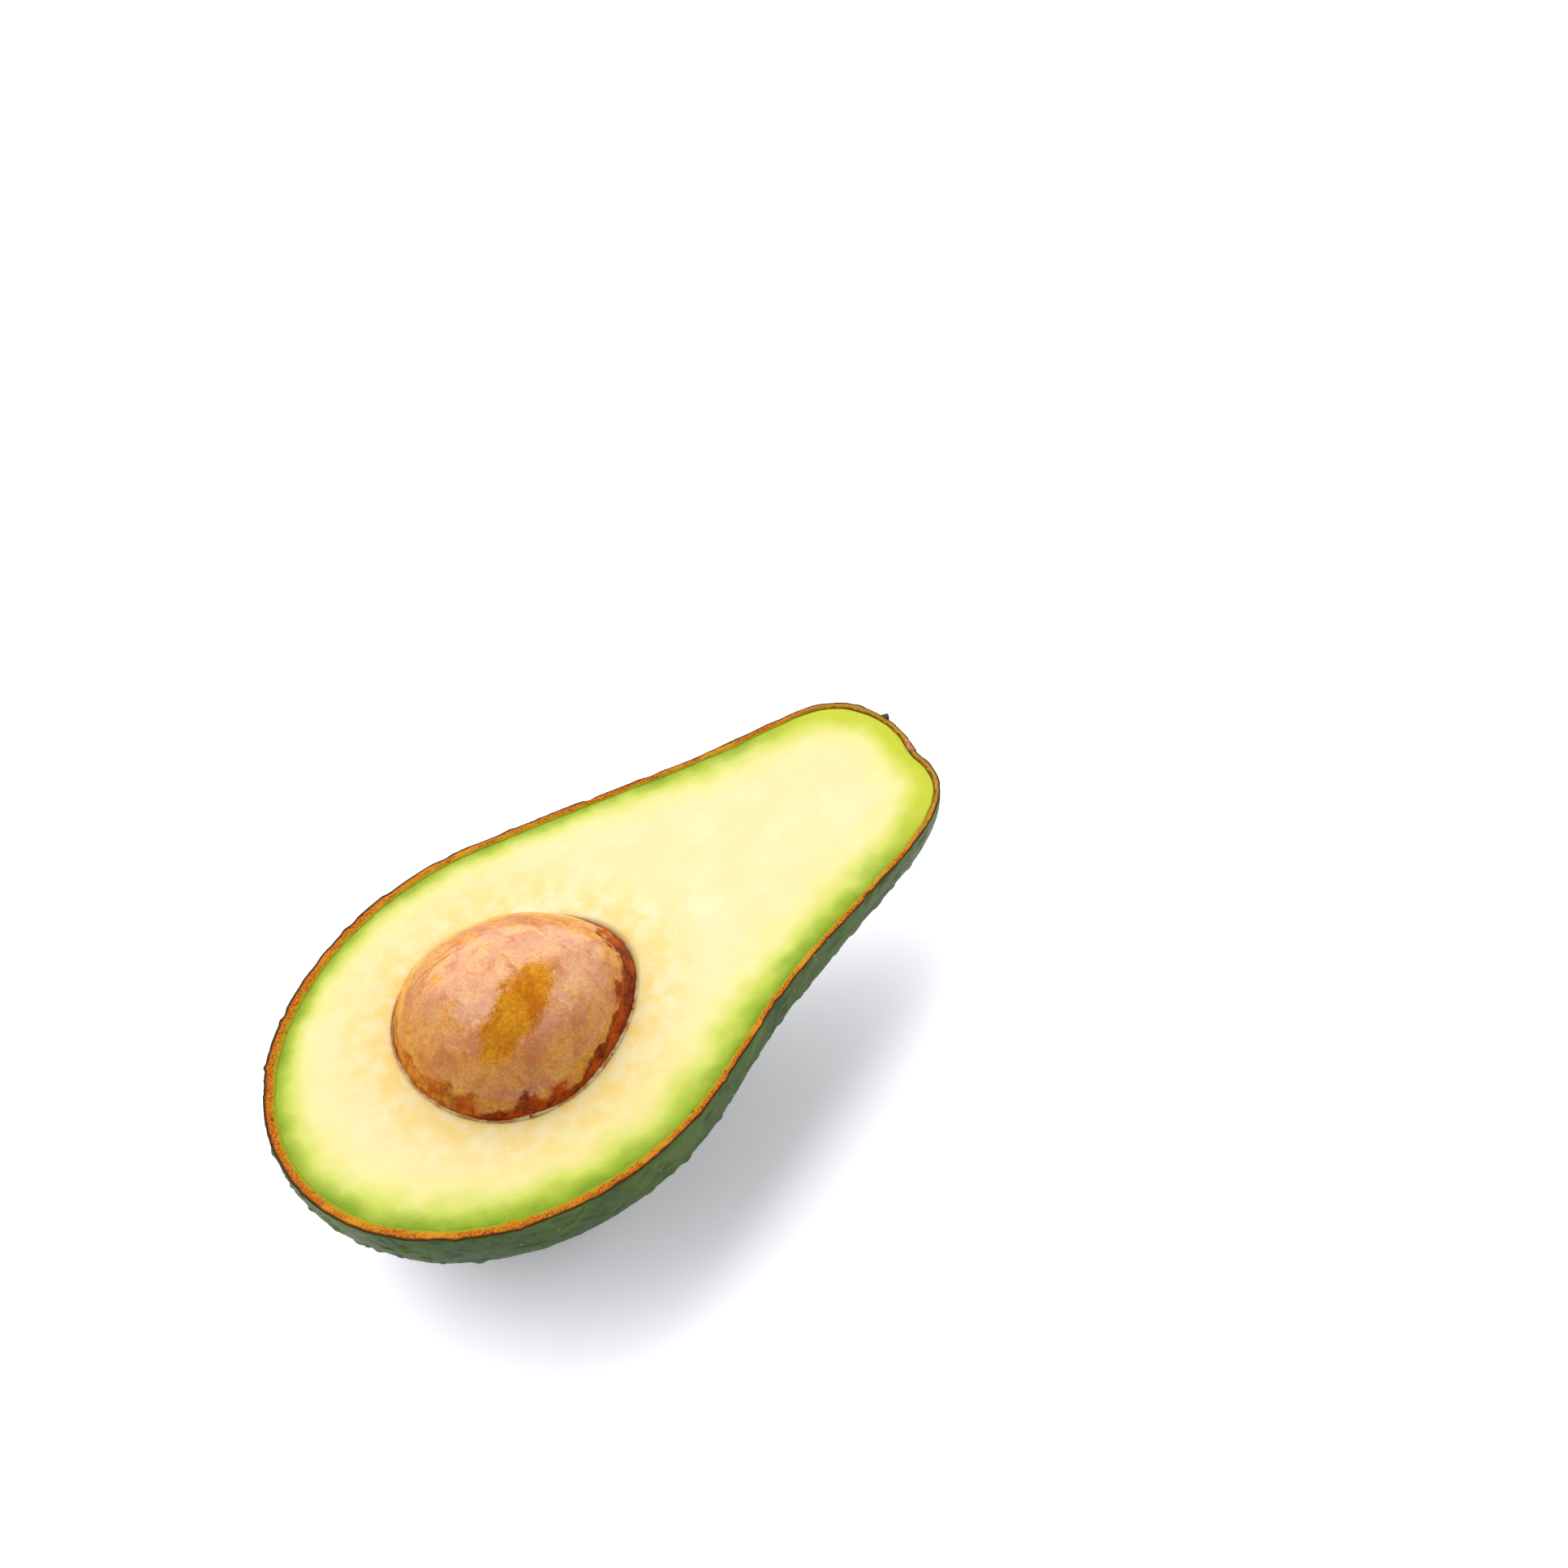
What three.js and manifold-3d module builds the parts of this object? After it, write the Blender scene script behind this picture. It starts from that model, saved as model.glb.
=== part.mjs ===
// Half an avocado, cut lengthwise through the stem scar, with its stone still in place.
// Units are millimetres and +Z is up. The half lies on its rounded back with the cut face level:
// +X runs from the blossom end to the stem end, and the stone stands out of the cut face.
//
// The shape is worked out in the fruit's own frame, where the cut face is the plane z = 0, the
// blossom end of the flesh is at x = 0 and the body hangs below. At the end the whole half is
// moved so that the origin is under the middle of its bounding box, on the surface it rests on.

import * as THREE from "three";
import { mergeVertices } from "three/addons/utils/BufferGeometryUtils.js";
import Module from "manifold-3d";

const wasm = await Module();
wasm.setup();

// ---- Driving dimensions ----

const FLESH_LENGTH = 115;
const BELLY_X = 39.5; // from the blossom end to the widest place
const BELLY_HALF_WIDTH = 30.2;
const BELLY_FULLNESS = 16.5; // how far the belly holds its width towards the neck
const NECK_X = 98;
const NECK_HALF_WIDTH = 16.1;
const NECK_TAPER = 0.21; // half-width lost for each millimetre along the neck
const NECK_REACH = 40; // how far back from the neck its taper shapes the side
const TIP_SHOULDER = 10.8; // how far the taper runs on past the neck station
const TIP_HALF_WIDTH = 12.3; // half-width that the blunt stem end holds before it rounds over

const NECK_BEND = -2.5; // the neck leans to -Y by this much
const BEND_FROM = 65;
const BEND_TO = 103;

const BACK_DEPTH_AT_BLOSSOM = 0.92; // depth of a section over its half-width, at the blossom end
const BACK_DEPTH_AT_NECK = 1.12; // and from the middle of the fruit to the neck
const DEPTH_FROM = 24;
const DEPTH_TO = 77;

const DIMPLE_DEPTH = 1.2; // the stem scar's hollow in the blunt stem end
const DIMPLE_Y = -6.5;
const DIMPLE_RADIUS = 3.4;

const GAP = 0.3; // clearance that neighbouring pieces keep
const PEEL_AT_BELLY = 1.6;
const PEEL_AT_NECK = 0.85;
const PEEL_THINS_FROM = 22;
const PEEL_THINS_TO = 82;
const REST_FLAT = 0.5; // how much the back flattens where it lies on the table

const STONE = { length: 38.8, width: 33.1, height: 32.6, turnDeg: -1.7, bluntness: 0.165 };
const STONE_AT = new THREE.Vector3(40.95, 1.1, -3.5); // the knife passed above its middle
const COAT_THICKNESS = 0.4; // the papery seed coat that lines the stone's bed
const COAT_LIP = 0.25; // how far the coat's torn edge stands above the cut face

const BUTTON = { length: 2.6, width: 4.4, sink: 0.45 }; // woody remnant of the stem

const STATIONS = 40; // rings from the blossom end to the stem end
const AROUND = 18; // steps round the back, from one side of the cut to the other
const BIG = 400; // a block larger than the fruit, for cutting

// ---- Small helpers ----

const smoothstep = THREE.MathUtils.smoothstep;
const lerp = THREE.MathUtils.lerp;

// Collects triangles over shared points and turns them into one closed geometry.
class SurfaceBuilder {
  constructor() {
    this.points = [];
    this.faces = [];
  }

  // Adds a sheet of rings. The first and last rings are single points, the poles.
  addSheet(rings) {
    return rings.map((ring, i) => {
      const isPole = i === 0 || i === rings.length - 1;
      if (isPole) {
        const pole = this.points.push(ring[0]) - 1;
        return ring.map(() => pole);
      }
      return ring.map((point) => this.points.push(point) - 1);
    });
  }

  triangle(a, b, c) {
    if (a !== b && b !== c && c !== a) this.faces.push(a, b, c);
  }

  quad(a, b, c, d) {
    this.triangle(a, b, c);
    this.triangle(a, c, d);
  }

  // The faces of a sheet, facing out of the fruit or, if inward, into it.
  coverSheet(ids, inward = false) {
    for (let i = 0; i + 1 < ids.length; i++) {
      for (let j = 0; j + 1 < ids[i].length; j++) {
        const corners = [ids[i][j], ids[i + 1][j], ids[i + 1][j + 1], ids[i][j + 1]];
        this.quad(...(inward ? corners.reverse() : corners));
      }
    }
  }

  geometry() {
    const flat = new Float32Array(this.points.flatMap((p) => [p.x, p.y, p.z]));
    const made = new THREE.BufferGeometry();
    made.setAttribute("position", new THREE.BufferAttribute(flat, 3));
    made.setIndex(this.faces);
    return made;
  }
}

// A closed three.js geometry as a manifold-3d solid, and back.
function toSolid(geometry) {
  const bare = geometry.clone();
  bare.deleteAttribute("normal");
  bare.deleteAttribute("uv");
  const merged = mergeVertices(bare, 1e-4);
  const { Manifold, Mesh } = wasm;
  return new Manifold(
    new Mesh({
      numProp: 3,
      vertProperties: merged.attributes.position.array,
      triVerts: new Uint32Array(merged.index.array),
    }),
  );
}

function toGeometry(solid) {
  const mesh = solid.getMesh();
  const made = new THREE.BufferGeometry();
  made.setAttribute("position", new THREE.BufferAttribute(mesh.vertProperties, mesh.numProp));
  made.setIndex(new THREE.BufferAttribute(mesh.triVerts, 1));
  return made;
}

// Everything above the height z, as a block to cut with.
function blockAbove(z) {
  const block = new THREE.BoxGeometry(BIG, BIG, BIG);
  block.translate(0, 0, z + BIG / 2);
  return toSolid(block);
}

// ---- The fruit's outer form ----

// Half-width of the flesh along the fruit: a quarter ellipse at the blossom end, then a long
// easing into the neck, then the blunt stem end.
function sideProfile() {
  const side = new THREE.Path();
  side.moveTo(0, 0);
  side.absellipse(BELLY_X, 0, BELLY_X, BELLY_HALF_WIDTH, Math.PI, Math.PI / 2, true);
  side.bezierCurveTo(
    BELLY_X + BELLY_FULLNESS,
    BELLY_HALF_WIDTH,
    NECK_X - NECK_REACH,
    NECK_HALF_WIDTH + NECK_TAPER * NECK_REACH,
    NECK_X,
    NECK_HALF_WIDTH,
  );
  side.bezierCurveTo(
    NECK_X + TIP_SHOULDER,
    NECK_HALF_WIDTH - NECK_TAPER * TIP_SHOULDER,
    FLESH_LENGTH,
    TIP_HALF_WIDTH,
    FLESH_LENGTH,
    0,
  );
  return side.getSpacedPoints(STATIONS);
}

const bendAt = (x) => NECK_BEND * smoothstep(x, BEND_FROM, BEND_TO);
const depthShareAt = (x) =>
  lerp(BACK_DEPTH_AT_BLOSSOM, BACK_DEPTH_AT_NECK, smoothstep(x, DEPTH_FROM, DEPTH_TO));

// How far the stem scar's hollow moves a point of the stem end back along the fruit.
function dimpleAt(y, z) {
  const away = ((y - DIMPLE_Y) ** 2 + z ** 2) / DIMPLE_RADIUS ** 2;
  return DIMPLE_DEPTH * Math.exp(-away);
}

// The flesh's own surface as rings of points, from one side of the cut round the back to the other.
function fleshRings() {
  const neckEnd = NECK_X + TIP_SHOULDER / 2;
  return sideProfile().map(({ x, y: halfWidth }) => {
    const ring = [];
    for (let j = 0; j <= AROUND; j++) {
      const angle = (Math.PI * j) / AROUND;
      const y = bendAt(x) + halfWidth * Math.cos(angle);
      const onCut = j === 0 || j === AROUND;
      const z = onCut ? 0 : -halfWidth * depthShareAt(x) * Math.sin(angle);
      const pulledBack = x > neckEnd ? dimpleAt(y, z) : 0;
      ring.push(new THREE.Vector3(x - pulledBack, y, z));
    }
    return ring;
  });
}

// Outward direction at each point of the rings. On the cut it lies in the cut plane.
function outwardDirections(rings) {
  const builder = new SurfaceBuilder();
  const ids = builder.addSheet(rings);
  builder.coverSheet(ids);
  const geometry = builder.geometry();
  geometry.computeVertexNormals();
  const normals = geometry.attributes.normal;
  return ids.map((ring, i) =>
    ring.map((id, j) => {
      const direction = new THREE.Vector3().fromBufferAttribute(normals, id);
      const isPole = i === 0 || i === ids.length - 1;
      if (isPole || j === 0 || j === AROUND) direction.z = 0;
      return direction.normalize();
    }),
  );
}

const baseRings = fleshRings();
const outward = outwardDirections(baseRings);

// The same rings moved out by a distance that may change along the fruit.
function ringsAt(distanceAt) {
  return baseRings.map((ring, i) =>
    ring.map((p, j) => p.clone().addScaledVector(outward[i][j], distanceAt(p.x))),
  );
}

// A solid half fruit: the rings, closed by the flat cut face.
function halfBody(rings) {
  const builder = new SurfaceBuilder();
  const ids = builder.addSheet(rings);
  builder.coverSheet(ids);
  for (let i = 0; i + 1 < ids.length; i++) {
    builder.quad(ids[i][0], ids[i][AROUND], ids[i + 1][AROUND], ids[i + 1][0]);
  }
  return builder.geometry();
}

// ---- Peel ----

const peelThickness = (x) =>
  lerp(PEEL_AT_BELLY, PEEL_AT_NECK, smoothstep(x, PEEL_THINS_FROM, PEEL_THINS_TO));
const peelOutside = (x) => GAP + peelThickness(x);

// A bowl-shaped skin: outside, inside and the cut edge that joins them. Its back is flattened a
// little where the half lies on the table.
function peelGeometry() {
  const outer = ringsAt(peelOutside);
  const lowest = Math.min(...outer.flat().map((p) => p.z));
  const builder = new SurfaceBuilder();
  const outerIds = builder.addSheet(outer);
  const innerIds = builder.addSheet(ringsAt(() => GAP));
  builder.coverSheet(outerIds);
  builder.coverSheet(innerIds, true);
  for (let i = 0; i + 1 < outerIds.length; i++) {
    const [o, p, q, r] = [outerIds[i], outerIds[i + 1], innerIds[i + 1], innerIds[i]];
    builder.quad(o[0], r[0], q[0], p[0]);
    builder.quad(o[AROUND], p[AROUND], q[AROUND], r[AROUND]);
  }
  const table = new THREE.BoxGeometry(BIG, BIG, BIG);
  table.translate(0, 0, lowest + REST_FLAT - BIG / 2);
  return toGeometry(toSolid(builder.geometry()).subtract(toSolid(table)));
}

// ---- Stone and its coat ----

// An egg a little blunter towards the blossom end, grown outwards by a clearance.
function eggGeometry(grow, segments, rows) {
  const egg = new THREE.SphereGeometry(1, segments, rows);
  const place = egg.attributes.position;
  for (let i = 0; i < place.count; i++) {
    const along = place.getX(i);
    const swell = 1 - STONE.bluntness * along;
    place.setXYZ(
      i,
      along * (STONE.length / 2 + grow),
      place.getY(i) * (STONE.width / 2 + grow) * swell,
      place.getZ(i) * (STONE.height / 2 + grow) * swell,
    );
  }
  egg.rotateZ(THREE.MathUtils.degToRad(STONE.turnDeg));
  egg.translate(STONE_AT.x, STONE_AT.y, STONE_AT.z);
  return egg;
}

function seedCoatGeometry() {
  const outside = toSolid(eggGeometry(GAP + COAT_THICKNESS, 28, 18));
  const inside = toSolid(eggGeometry(GAP, 28, 18));
  return toGeometry(outside.subtract(inside).subtract(blockAbove(COAT_LIP)));
}

// ---- Flesh ----

function fleshGeometry() {
  const body = toSolid(halfBody(baseRings));
  const bed = toSolid(eggGeometry(GAP + COAT_THICKNESS + GAP, 28, 18));
  return toGeometry(body.subtract(bed));
}

// ---- Stem button ----

// Half of the little woody plug where the stem broke off, lying in the stem scar.
function stemButtonGeometry() {
  const peelTip = FLESH_LENGTH + peelOutside(FLESH_LENGTH) - DIMPLE_DEPTH;
  const plug = new THREE.SphereGeometry(1, 20, 12);
  plug.scale(BUTTON.length / 2, BUTTON.width / 2, BUTTON.width / 2);
  plug.translate(peelTip + BUTTON.sink, DIMPLE_Y, 0);
  const keepOut = toSolid(halfBody(ringsAt((x) => peelOutside(x) + GAP)));
  return toGeometry(toSolid(plug).subtract(blockAbove(0)).subtract(keepOut));
}

// ---- Assembly ----

function piece(name, geometry, color, roughness) {
  const material = new THREE.MeshStandardMaterial({ color, roughness, metalness: 0 });
  const mesh = new THREE.Mesh(geometry, material);
  mesh.name = name;
  return mesh;
}

const half = new THREE.Group();
half.add(
  piece("peel", peelGeometry(), 0x2f5a2a, 0.42),
  piece("flesh", fleshGeometry(), 0xf4efa4, 0.5),
  piece("seed_coat", seedCoatGeometry(), 0xd8b27c, 0.55),
  piece("stone", toGeometry(toSolid(eggGeometry(0, 32, 20))), 0x9a5626, 0.25),
  piece("stem_button", stemButtonGeometry(), 0x5a3a2c, 0.8),
);

// Origin under the middle of the bounding box, on the resting surface.
const bounds = new THREE.Box3().setFromObject(half);
const middle = bounds.getCenter(new THREE.Vector3());
half.position.set(-middle.x, -middle.y, -bounds.min.z);

const avocadoHalf = new THREE.Group();
avocadoHalf.add(half);

export default avocadoHalf;
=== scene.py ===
# %% [markdown]
# # Half an avocado with its stone
#
# A ripe green avocado, cut lengthwise, lies on its rounded back with the cut face up.
# It is five things that grew together: a tough waxy peel, buttery flesh that goes from
# green at the rim to cream inside, a papery seed coat that lines the bed of the stone, the
# glossy brown stone, and a scrap of dry woody stem at the tip.
#
# The CAD model gives every size. Each piece is built here as one closed mesh on the CAD
# outline, so that its bumps, edges and seams are real geometry, and then gets a material
# made of noise nodes.

# %% Load the CAD frame
import math

import bmesh
import bpy
import numpy as np
from mathutils import Matrix, Vector
from mathutils.bvhtree import BVHTree


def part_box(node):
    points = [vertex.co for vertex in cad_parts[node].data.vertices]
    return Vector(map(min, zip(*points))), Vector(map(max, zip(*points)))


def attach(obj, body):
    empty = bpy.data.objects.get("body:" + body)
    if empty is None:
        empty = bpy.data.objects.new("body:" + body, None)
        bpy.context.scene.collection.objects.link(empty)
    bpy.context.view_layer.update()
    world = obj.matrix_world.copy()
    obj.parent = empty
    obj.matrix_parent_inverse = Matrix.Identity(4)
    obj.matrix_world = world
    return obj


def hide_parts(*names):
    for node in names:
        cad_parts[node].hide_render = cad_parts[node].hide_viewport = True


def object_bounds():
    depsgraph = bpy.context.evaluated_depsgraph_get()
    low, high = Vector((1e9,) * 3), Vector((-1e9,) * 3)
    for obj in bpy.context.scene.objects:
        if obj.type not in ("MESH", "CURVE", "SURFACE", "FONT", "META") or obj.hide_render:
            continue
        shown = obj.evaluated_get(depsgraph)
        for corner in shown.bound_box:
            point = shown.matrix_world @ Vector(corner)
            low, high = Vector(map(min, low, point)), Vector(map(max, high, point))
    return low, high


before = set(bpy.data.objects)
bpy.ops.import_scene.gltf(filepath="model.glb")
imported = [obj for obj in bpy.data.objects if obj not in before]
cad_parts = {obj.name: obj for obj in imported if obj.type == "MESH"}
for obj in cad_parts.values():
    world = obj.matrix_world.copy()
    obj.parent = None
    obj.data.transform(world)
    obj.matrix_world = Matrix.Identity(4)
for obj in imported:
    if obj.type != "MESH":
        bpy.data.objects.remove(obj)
CAD_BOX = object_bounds()
MM = 0.001
CUT_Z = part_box("flesh")[1].z / MM
print("CAD box in mm:", [[round(v / MM, 2) for v in corner] for corner in CAD_BOX])
print("The cut face is", round(CUT_Z, 2), "mm above the table")

# %% [markdown]
# ## Camera
# A long lens looks from above and a little to the left, as food is usually shown, so the cut
# face reads as a whole and a strip of the back still shows. The camera comes first, because
# it decides which details are worth their faces. It aims at a point on the cut face, found
# as shares of the CAD box.

# %% Place the camera
AZIMUTH = math.radians(-36.7)
ELEVATION = math.radians(54.7)
ROLL = math.radians(-7.13)
DISTANCE = 663.4 * MM
aim = Vector((0.654 * CAD_BOX[1][0], 0.114 * CAD_BOX[1][1], CUT_Z * MM))
back = Vector((
    math.sin(AZIMUTH) * math.cos(ELEVATION),
    -math.cos(AZIMUTH) * math.cos(ELEVATION),
    math.sin(ELEVATION),
))
level_right = Vector((0, 0, 1)).cross(back).normalized()
level_up = back.cross(level_right)
right = math.cos(ROLL) * level_right + math.sin(ROLL) * level_up
up = math.cos(ROLL) * level_up - math.sin(ROLL) * level_right
lens = bpy.data.cameras.new("camera")
lens.lens = 100
lens.sensor_width = 36
camera = bpy.data.objects.new("camera", lens)
camera.matrix_world = Matrix((right, up, back)).transposed().to_4x4()
camera.location = aim + DISTANCE * back
bpy.context.scene.collection.objects.link(camera)
bpy.context.scene.camera = camera
print("Camera at", [round(v, 3) for v in camera.location])

# %% [markdown]
# ## Small tools for shapes
# Nature's surfaces are built from a few random patterns. Soft noise gives slow swells and
# lumps. Scattered cells give bumps, which have centres. Both come from a fixed number for
# each corner of a grid in space, so that the same fruit is made every time. Blender's own
# noise textures could push the points too, but then the height would not be at hand for the
# edge of the cut and for the masks that the materials use.

# %% Noise and curve tools
def grid_random(ix, iy, iz, seed):
    """A steady random number from 0 to 1 for each whole-number corner."""
    mixed = (ix * 73856093) ^ (iy * 19349663) ^ (iz * 83492791) ^ (seed * 40503 + 977)
    mixed = mixed & 0xFFFFFFFF
    mixed = ((mixed ^ (mixed >> 15)) * 2246822519) & 0xFFFFFFFF
    mixed = ((mixed ^ (mixed >> 13)) * 668265263) & 0xFFFFFFFF
    mixed = mixed ^ (mixed >> 16)
    return mixed / 4294967295.0


def soft_noise(points, size, seed):
    """Smooth values from -1 to 1 that change over about `size` mm, one number or three."""
    at = points / np.asarray(size, float)
    low = np.floor(at).astype(np.int64)
    part = at - low
    part = part * part * part * (part * (part * 6 - 15) + 10)
    total = np.zeros(points.shape[:-1])
    for corner in np.ndindex(2, 2, 2):
        weight = np.ones(points.shape[:-1])
        for axis in range(3):
            weight = weight * (part[..., axis] if corner[axis] else 1 - part[..., axis])
        total += weight * grid_random(
            low[..., 0] + corner[0], low[..., 1] + corner[1], low[..., 2] + corner[2], seed
        )
    return total * 2 - 1


def rough_noise(points, size, seed, octaves=3):
    """Soft noise with finer noise on top, still about -1 to 1."""
    total = np.zeros(points.shape[:-1])
    for octave in range(octaves):
        finer = np.asarray(size, float) / 2.1 ** octave
        total += soft_noise(points, finer, seed + 17 * octave) / 1.9 ** octave
    return total / 1.6


def scattered_cells(points, size, seed):
    """Distance to the nearest scattered point, in cells, and that point's random number."""
    at = points / np.asarray(size, float)
    low = np.floor(at).astype(np.int64)
    nearest = np.full(points.shape[:-1], 9.0)
    pick = np.zeros(points.shape[:-1])
    for step in np.ndindex(3, 3, 3):
        cell = [low[..., axis] + step[axis] - 1 for axis in range(3)]
        apart = np.zeros(points.shape[:-1])
        for axis in range(3):
            spot = cell[axis] + 0.15 + 0.7 * grid_random(*cell, seed + axis)
            apart += (at[..., axis] - spot) ** 2
        apart = np.sqrt(apart)
        closer = apart < nearest
        pick = np.where(closer, grid_random(*cell, seed + 7), pick)
        nearest = np.where(closer, apart, nearest)
    return nearest, pick


def ease(value, start, end):
    """0 before start, 1 after end, and smooth between."""
    share = np.clip((value - start) / (end - start), 0, 1)
    return share * share * (3 - 2 * share)


def closed_curve(points, at):
    """Points of a smooth closed curve through `points`, at fractional indices."""
    count = len(points)
    low = np.floor(at).astype(int)
    t = (at - low)[:, None]
    p0 = points[(low - 1) % count]
    p1 = points[low % count]
    p2 = points[(low + 1) % count]
    p3 = points[(low + 2) % count]
    curve = 2 * p1 + (p2 - p0) * t + (2 * p0 - 5 * p1 + 4 * p2 - p3) * t ** 2
    return 0.5 * (curve + (3 * p1 - p0 - 3 * p2 + p3) * t ** 3)


noise_try = soft_noise(np.random.default_rng(1).uniform(-50, 50, (500, 3)), 5.0, 1)
print("Soft noise runs from", noise_try.min().round(2), "to", noise_try.max().round(2))

# %% [markdown]
# ## Outlines of the cut face
# The knife left three closed lines on the CAD model: the outside of the peel, its inside,
# and the edge of the flesh. They could be drawn again from numbers, but reading them from
# the CAD faces in the cut plane keeps the two models alike. Smooth curves through their
# points give as many stations as the fine meshes need. Station 0 is the blossom end, and
# station SIDE the stem end.

# %% Read the outlines
SIDE = 380
RING = 2 * SIDE


def cut_loops(node):
    """Closed rows of points round the node's cut face, in mm, the longest first."""
    made = bmesh.new()
    made.from_mesh(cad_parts[node].data)
    bmesh.ops.remove_doubles(made, verts=made.verts, dist=1e-6)
    made.normal_update()
    level = set()
    for face in made.faces:
        flat = all(abs(v.co.z / MM - CUT_Z) < 0.01 for v in face.verts)
        if flat and face.normal.z > 0.9:
            level.add(face)
    after = {}
    for face in level:
        for corner in face.loops:
            if sum(1 for other in corner.edge.link_faces if other in level) == 1:
                after[corner.vert] = corner.link_loop_next.vert
    loops = []
    while after:
        first, following = after.popitem()
        row = [first]
        while following is not first:
            row.append(following)
            following = after.pop(following)
        row = np.array([v.co[:] for v in row]) / MM
        ahead = np.roll(row, -1, 0)
        if np.sum(row[:, 0] * ahead[:, 1] - row[:, 1] * ahead[:, 0]) < 0:
            row = row[::-1]
        loops.append(np.roll(row, -np.argmin(row[:, 0]), 0))
    made.free()
    loops.sort(key=lambda row: -np.ptp(row[:, 0]))
    return loops


def ring_of(loop):
    """RING points along a loop, from the blossom end along the near side and back."""
    return closed_curve(loop, np.arange(RING) * len(loop) / RING)


peel_loops = cut_loops("peel")
peel_outer = ring_of(peel_loops[0])
peel_inner = ring_of(peel_loops[1])
flesh_outer = ring_of(cut_loops("flesh")[0])
print("Outlines have", [len(row) for row in peel_loops], "CAD points and", RING, "stations")

# %% [markdown]
# ## The rounded back
# Across the fruit, each section of the back is half an ellipse that hangs from the two ends
# of its station on the outline. How deep it hangs compared with its half-width comes from
# rays shot at the CAD solid from outside, and is smoothed along the fruit. Where the soft
# peel stands on the table it is pressed flat, so nothing goes below zero.

# %% Measure and build the back
RAY_DROP = math.radians(60)
RAY_START = 80
NARROWEST = 8
SMOOTHED_OVER = 41


def depth_shares(node, ring):
    """Depth over half-width of the back at each station from blossom end to stem end."""
    tree = BVHTree.FromObject(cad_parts[node], bpy.context.evaluated_depsgraph_get())
    shares = np.full(SIDE + 1, np.nan)
    for station in range(SIDE + 1):
        near = ring[station % RING]
        far = ring[(RING - station) % RING]
        middle = (near + far) / 2
        half = (near - far) / 2
        width = np.linalg.norm(half)
        if width < NARROWEST:
            continue
        way = np.append(half[:2] / width * math.cos(RAY_DROP), -math.sin(RAY_DROP))
        start = middle + way * RAY_START
        hit = tree.ray_cast(Vector(start * MM), Vector(-way))[0]
        if hit is None:
            continue
        reach = np.linalg.norm(np.array(hit) / MM - middle)
        across = reach * math.cos(RAY_DROP) / width
        shares[station] = reach * math.sin(RAY_DROP) / (width * math.sqrt(1 - across ** 2))
    known = np.flatnonzero(~np.isnan(shares))
    shares = np.interp(np.arange(SIDE + 1), known, shares[known])
    window = np.hanning(SMOOTHED_OVER)
    padded = np.pad(shares, SMOOTHED_OVER // 2, mode="edge")
    return np.convolve(padded, window / window.sum(), mode="valid")


def back_sheet(ring, shares, angles):
    """Points of the back, one row for each station and one column for each angle."""
    near = ring[: SIDE + 1]
    far = ring[(RING - np.arange(SIDE + 1)) % RING]
    middle = ((near + far) / 2)[:, None, :]
    half = ((near - far) / 2)[:, None, :]
    depth = (np.linalg.norm(half, axis=2) * shares[:, None])[..., None]
    down = np.array([0.0, 0.0, -1.0])
    turn = angles[None, :, None]
    return middle + half * np.cos(turn) + depth * down * np.sin(turn)


peel_shares = depth_shares("peel", peel_outer)
flesh_shares = depth_shares("flesh", flesh_outer)
print("Depth over half-width runs from", peel_shares.min().round(3), "to", peel_shares.max().round(3))

# %% [markdown]
# ## Mesh building
# Every piece is a set of grids that share their edge points, so one small class collects
# points and joins rows of them. A row of one point is a pole, and gets a fan of triangles.
# Values for the materials, such as how far a point is from the rim, are stored on the points.

# %% Mesh builder
class Builder:
    """Collects points in mm, with named values, and faces, and makes one object of them."""

    def __init__(self, *names):
        self.points = []
        self.values = {name: [] for name in names}
        self.faces = []
        self.count = 0

    def add(self, points, **values):
        """Adds an array of points and gives back their numbers in the same layout."""
        points = np.asarray(points, float)
        shape = points.shape[:-1]
        size = int(np.prod(shape))
        self.points.append(points.reshape(-1, 3))
        for name, rows in self.values.items():
            rows.append(np.broadcast_to(values.get(name, 0.0), shape).reshape(-1))
        numbers = np.arange(self.count, self.count + size).reshape(shape)
        self.count += size
        return numbers

    def join(self, first, second, closed=True, flip=False):
        """Joins two rows of point numbers with faces. One of them may be a single pole."""
        steps = max(len(first), len(second)) - (0 if closed else 1)
        for step in range(steps):
            a = first[step % len(first)]
            b = first[(step + 1) % len(first)]
            c = second[(step + 1) % len(second)]
            d = second[step % len(second)]
            corners = [a, b, c, d]
            if len(first) == 1:
                corners = [a, c, d]
            if len(second) == 1:
                corners = [a, b, c]
            self.faces.append(corners[::-1] if flip else corners)

    def make(self, name, node, material):
        """Makes the object, puts it in place of its CAD node and gives it its material."""
        mesh = bpy.data.meshes.new(name)
        points = np.concatenate(self.points) * MM
        mesh.from_pydata(points.tolist(), [], [list(map(int, f)) for f in self.faces])
        for value_name, rows in self.values.items():
            layer = mesh.attributes.new(value_name, "FLOAT", "POINT")
            layer.data.foreach_set("value", np.concatenate(rows).astype(np.float32))
        made = bmesh.new()
        made.from_mesh(mesh)
        bmesh.ops.recalc_face_normals(made, faces=made.faces)
        open_edges = sum(1 for edge in made.edges if not edge.is_manifold)
        made.to_mesh(mesh)
        made.free()
        mesh.shade_smooth()
        piece = bpy.data.objects.new(name, mesh)
        bpy.context.scene.collection.objects.link(piece)
        mesh.materials.append(material)
        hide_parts(node)
        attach(piece, "root")
        triangles = sum(len(f.vertices) - 2 for f in mesh.polygons)
        print(name, "has", triangles, "triangles and", open_edges, "open edges")


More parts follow.
